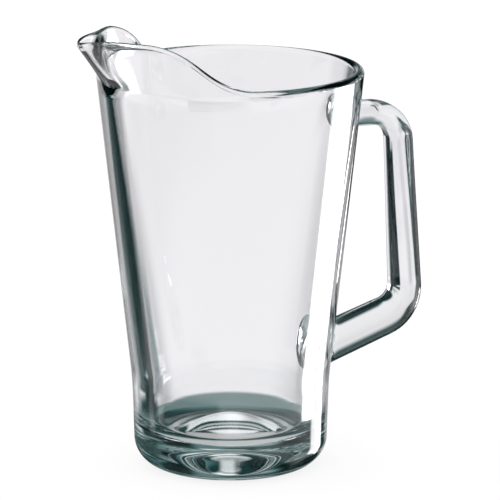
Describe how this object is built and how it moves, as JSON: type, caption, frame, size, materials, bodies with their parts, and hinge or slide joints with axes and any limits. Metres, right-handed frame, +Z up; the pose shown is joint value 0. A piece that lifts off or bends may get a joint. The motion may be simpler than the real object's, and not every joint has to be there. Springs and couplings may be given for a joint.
{
  "type": "glass pitcher",
  "caption": "Tapered clear glass pitcher with a thick base, a pulled pouring lip and a solid squared side handle.",
  "frame": {"origin": "middle of the overall plan box, at the level that the foot stands on", "axes": "+Z up, +X towards the handle, so the lip points along -X; the XZ plane is the plane of symmetry"},
  "size_m": [0.192, 0.139, 0.2322],
  "materials": {
    "vessel_glass": "polished",
    "handle_glass": "polished"
  },
  "bodies": {
    "root": {"vessel": "vessel_glass", "handle": "handle_glass"}
  },
  "joints": []
}
